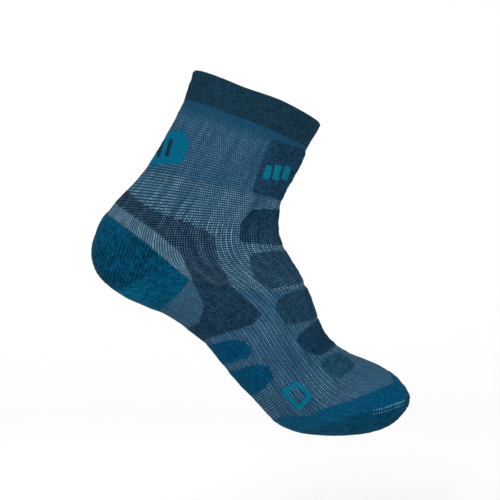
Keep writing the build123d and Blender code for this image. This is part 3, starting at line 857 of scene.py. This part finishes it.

# --- Fashioning stitches along the gores, and painted shade in the heel gore's holes ---------------


def gore_path(line, joined, pitch):
    """Even places along a side-view line on the skin, on the -y side and then back along the +y side."""
    (x0, z0), (x1, z1) = line
    sides = []
    for y in (-FAR, FAR):
        hits = []
        for t in np.linspace(0, 1, 200):
            start = Vector(((x0 + t * (x1 - x0)) * MM, y, (z0 + t * (z1 - z0)) * MM))
            hit = cast_tree.ray_cast(start, Vector((0, -y, 0)))[0]
            if hit is not None:
                hits.append(hit[:])
        sides.append(np.array(hits))
    runs = [np.vstack([sides[0], sides[1][::-1]])] if joined else sides
    out = []
    for run in runs:
        length = np.r_[0, np.cumsum(np.linalg.norm(np.diff(run, axis=0), axis=1))]
        at = np.arange(pitch / 2, length[-1], pitch)
        out.append(np.stack([np.interp(at, length, run[:, k]) for k in range(3)], axis=1))
    return out


def fashioned(name, line, joined, pitch, rows, sunk):
    """Stitches in rows beside a gore line. Each row has its offset in mm, its angle and its size in mm."""
    places, ways, normals, sizes = [], [], [], []
    flat, flat_normal = outer.reshape(-1, 3), normal.reshape(-1, 3)
    for run in gore_path(line, joined, pitch):
        along = np.gradient(run, axis=0)
        along /= np.linalg.norm(along, axis=1, keepdims=True)
        for i, place in enumerate(run):
            up = flat_normal[((flat - place) ** 2).sum(axis=1).argmin()]
            across = np.cross(up, along[i])
            for offset, turn, size in rows:
                spot = place + across * offset * MM
                nearest = ((flat - spot) ** 2).sum(axis=1).argmin()
                ways.append(math.cos(turn) * along[i] + math.sin(turn) * across)
                places.append(flat[nearest] - flat_normal[nearest] * sunk)
                normals.append(flat_normal[nearest])
                sizes.append(np.array(size) * MM)
    return stitches(name, places, ways, normals, sizes)


TOE_PITCH, HEEL_PITCH = 1.9 * MM, 4.2 * MM
TOE_ROWS = [(1.4, 1.25, (2.0, 0.65, 0.5)), (-1.4, 0.3, (0.9, 0.8, 0.5))]
# At the heel the rows are dark stitches that paint the shade in the gore's holes
HEEL_SHADE_ROWS = [(0.7, 0.6, (2.8, 1.3, 0.6)), (-0.9, -0.6, (2.0, 1.0, 0.6))]
toe_stitches = fashioned("toe_gore_stitches", TOE_GORE, True, TOE_PITCH, TOE_ROWS, 0)
heel_hole_shade = fashioned("heel_gore_hole_shade", HEEL_GORE, False, HEEL_PITCH, HEEL_SHADE_ROWS, 0.2 * MM)
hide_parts("toe_gore_line")
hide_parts("heel_gore_line")
pieces["toe_gore_line"] = toe_stitches
pieces["heel_gore_line"] = heel_hole_shade

# --- Materials and joints --------------------------------------------------------------------------

knit_of = {name: zone[6] for name, zone in ZONES.items()}
knit_of |= {"cuff_inner_ply": "cuff", "toe_seam": "seam"}
for name, piece in pieces.items():
    if name not in GORES:
        knit = knit_of.get(name, "terry")
        piece.data.materials.append(materials[knit])
# Dark yarn for the toe's gore stitches, and for the painted shade in the heel gore's holes
dark_yarn_and_hole_shade = yarn_material("dark_yarn_and_hole_shade", (3, 38, 60), (4, 48, 72))
bright_yarn = yarn_material("bright_yarn", (112, 158, 178), (70, 122, 148))
toe_stitches.data.materials.append(bright_yarn)
toe_stitches.data.materials.append(dark_yarn_and_hole_shade)
for face in toe_stitches.data.polygons:
    face.material_index = int(not TOE_GORE_BRIGHT[0] < face.center.x / MM < TOE_GORE_BRIGHT[1])
heel_hole_shade.data.materials.append(dark_yarn_and_hole_shade)
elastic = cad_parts["cuff_elastic"]
elastic.data.materials.clear()
elastic.data.materials.append(yarn_material("elastic_yarn", (190, 193, 198), (170, 175, 182)))

# The cuff is held by the leg. The other pieces, those from the ball forwards too, are baked in place
CUFF_PIECES = ["cuff_outer_ply", "cuff_inner_ply"]
TOE_PIECES = [
    "toe_panel", "toe_cap", "toe_terry_lining", "toe_seam", "toe_gore_line", "ball_panel", "ball_cushion",
    "ball_terry_lining", "side_badge", "toe_pad", "instep_pad_lower",
]
for name, piece in pieces.items():
    if name in CUFF_PIECES:
        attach(piece, "leg")
    elif name in TOE_PIECES:
        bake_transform(piece)
    else:
        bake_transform(piece)


# --- Studio ----------------------------------------------------------------------------------------

FOOT_ROOM = 0.09  # height of the sock over the floor, which leaves room for the foot to point down
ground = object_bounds()[0].z - FOOT_ROOM


def studio_floor():
    """A pale floor that turns up smoothly into a wall behind the object."""
    bend, steps, front, side, top = 0.8, 16, 3.0, 3.5, 3.5
    profile = [(-front, 0.0), (bend, 0.0)]
    for i in range(1, steps + 1):
        turn = math.pi / 2 * i / steps
        profile.append((bend + bend * math.sin(turn), bend - bend * math.cos(turn)))
    profile.append((2 * bend, top))
    points = [(x, y, ground + z) for y, z in profile for x in (-side, side)]
    faces = [(2 * i, 2 * i + 1, 2 * i + 3, 2 * i + 2) for i in range(len(profile) - 1)]
    mesh = bpy.data.meshes.new("studio_floor")
    mesh.from_pydata(points, [], faces)
    mesh.polygons.foreach_set("use_smooth", np.ones(len(faces), bool))
    floor = bpy.data.objects.new("studio_floor", mesh)
    bpy.context.scene.collection.objects.link(floor)
    return floor


floor = studio_floor()
floor.data.materials.append(plain_material("studio_white", (250, 250, 250)))

world = bpy.data.worlds.new("studio_world")
world.use_nodes = True
background = world.node_tree.nodes["Background"]
background.inputs["Color"].default_value = (1, 1, 1, 1)
background.inputs["Strength"].default_value = 0.85
bpy.context.scene.world = world


def soft_light(name, place, size, power):
    """A large square light facing the middle of the sock."""
    light = bpy.data.lights.new(name, "AREA")
    light.shape = "SQUARE"
    light.size = size
    light.energy = power
    lamp = bpy.data.objects.new(name, light)
    lamp.location = place
    aim = Vector((0, 0, -0.11)) - Vector(place)
    lamp.rotation_euler = aim.to_track_quat("-Z", "Y").to_euler()
    bpy.context.scene.collection.objects.link(lamp)


soft_light("key_light", (-0.7, -1.3, 0.9), 1.2, 14)
soft_light("fill_light", (1.1, -0.9, 0.4), 1.2, 5)

camera = bpy.data.objects.new("camera", bpy.data.cameras.new("camera"))
camera.data.angle = math.radians(21.5)
camera.location = (-0.0045, -0.95, -0.1105)
camera.rotation_euler = (math.radians(90), 0, 0)
bpy.context.scene.collection.objects.link(camera)
bpy.context.scene.camera = camera
bpy.context.scene.view_settings.view_transform = "Standard"
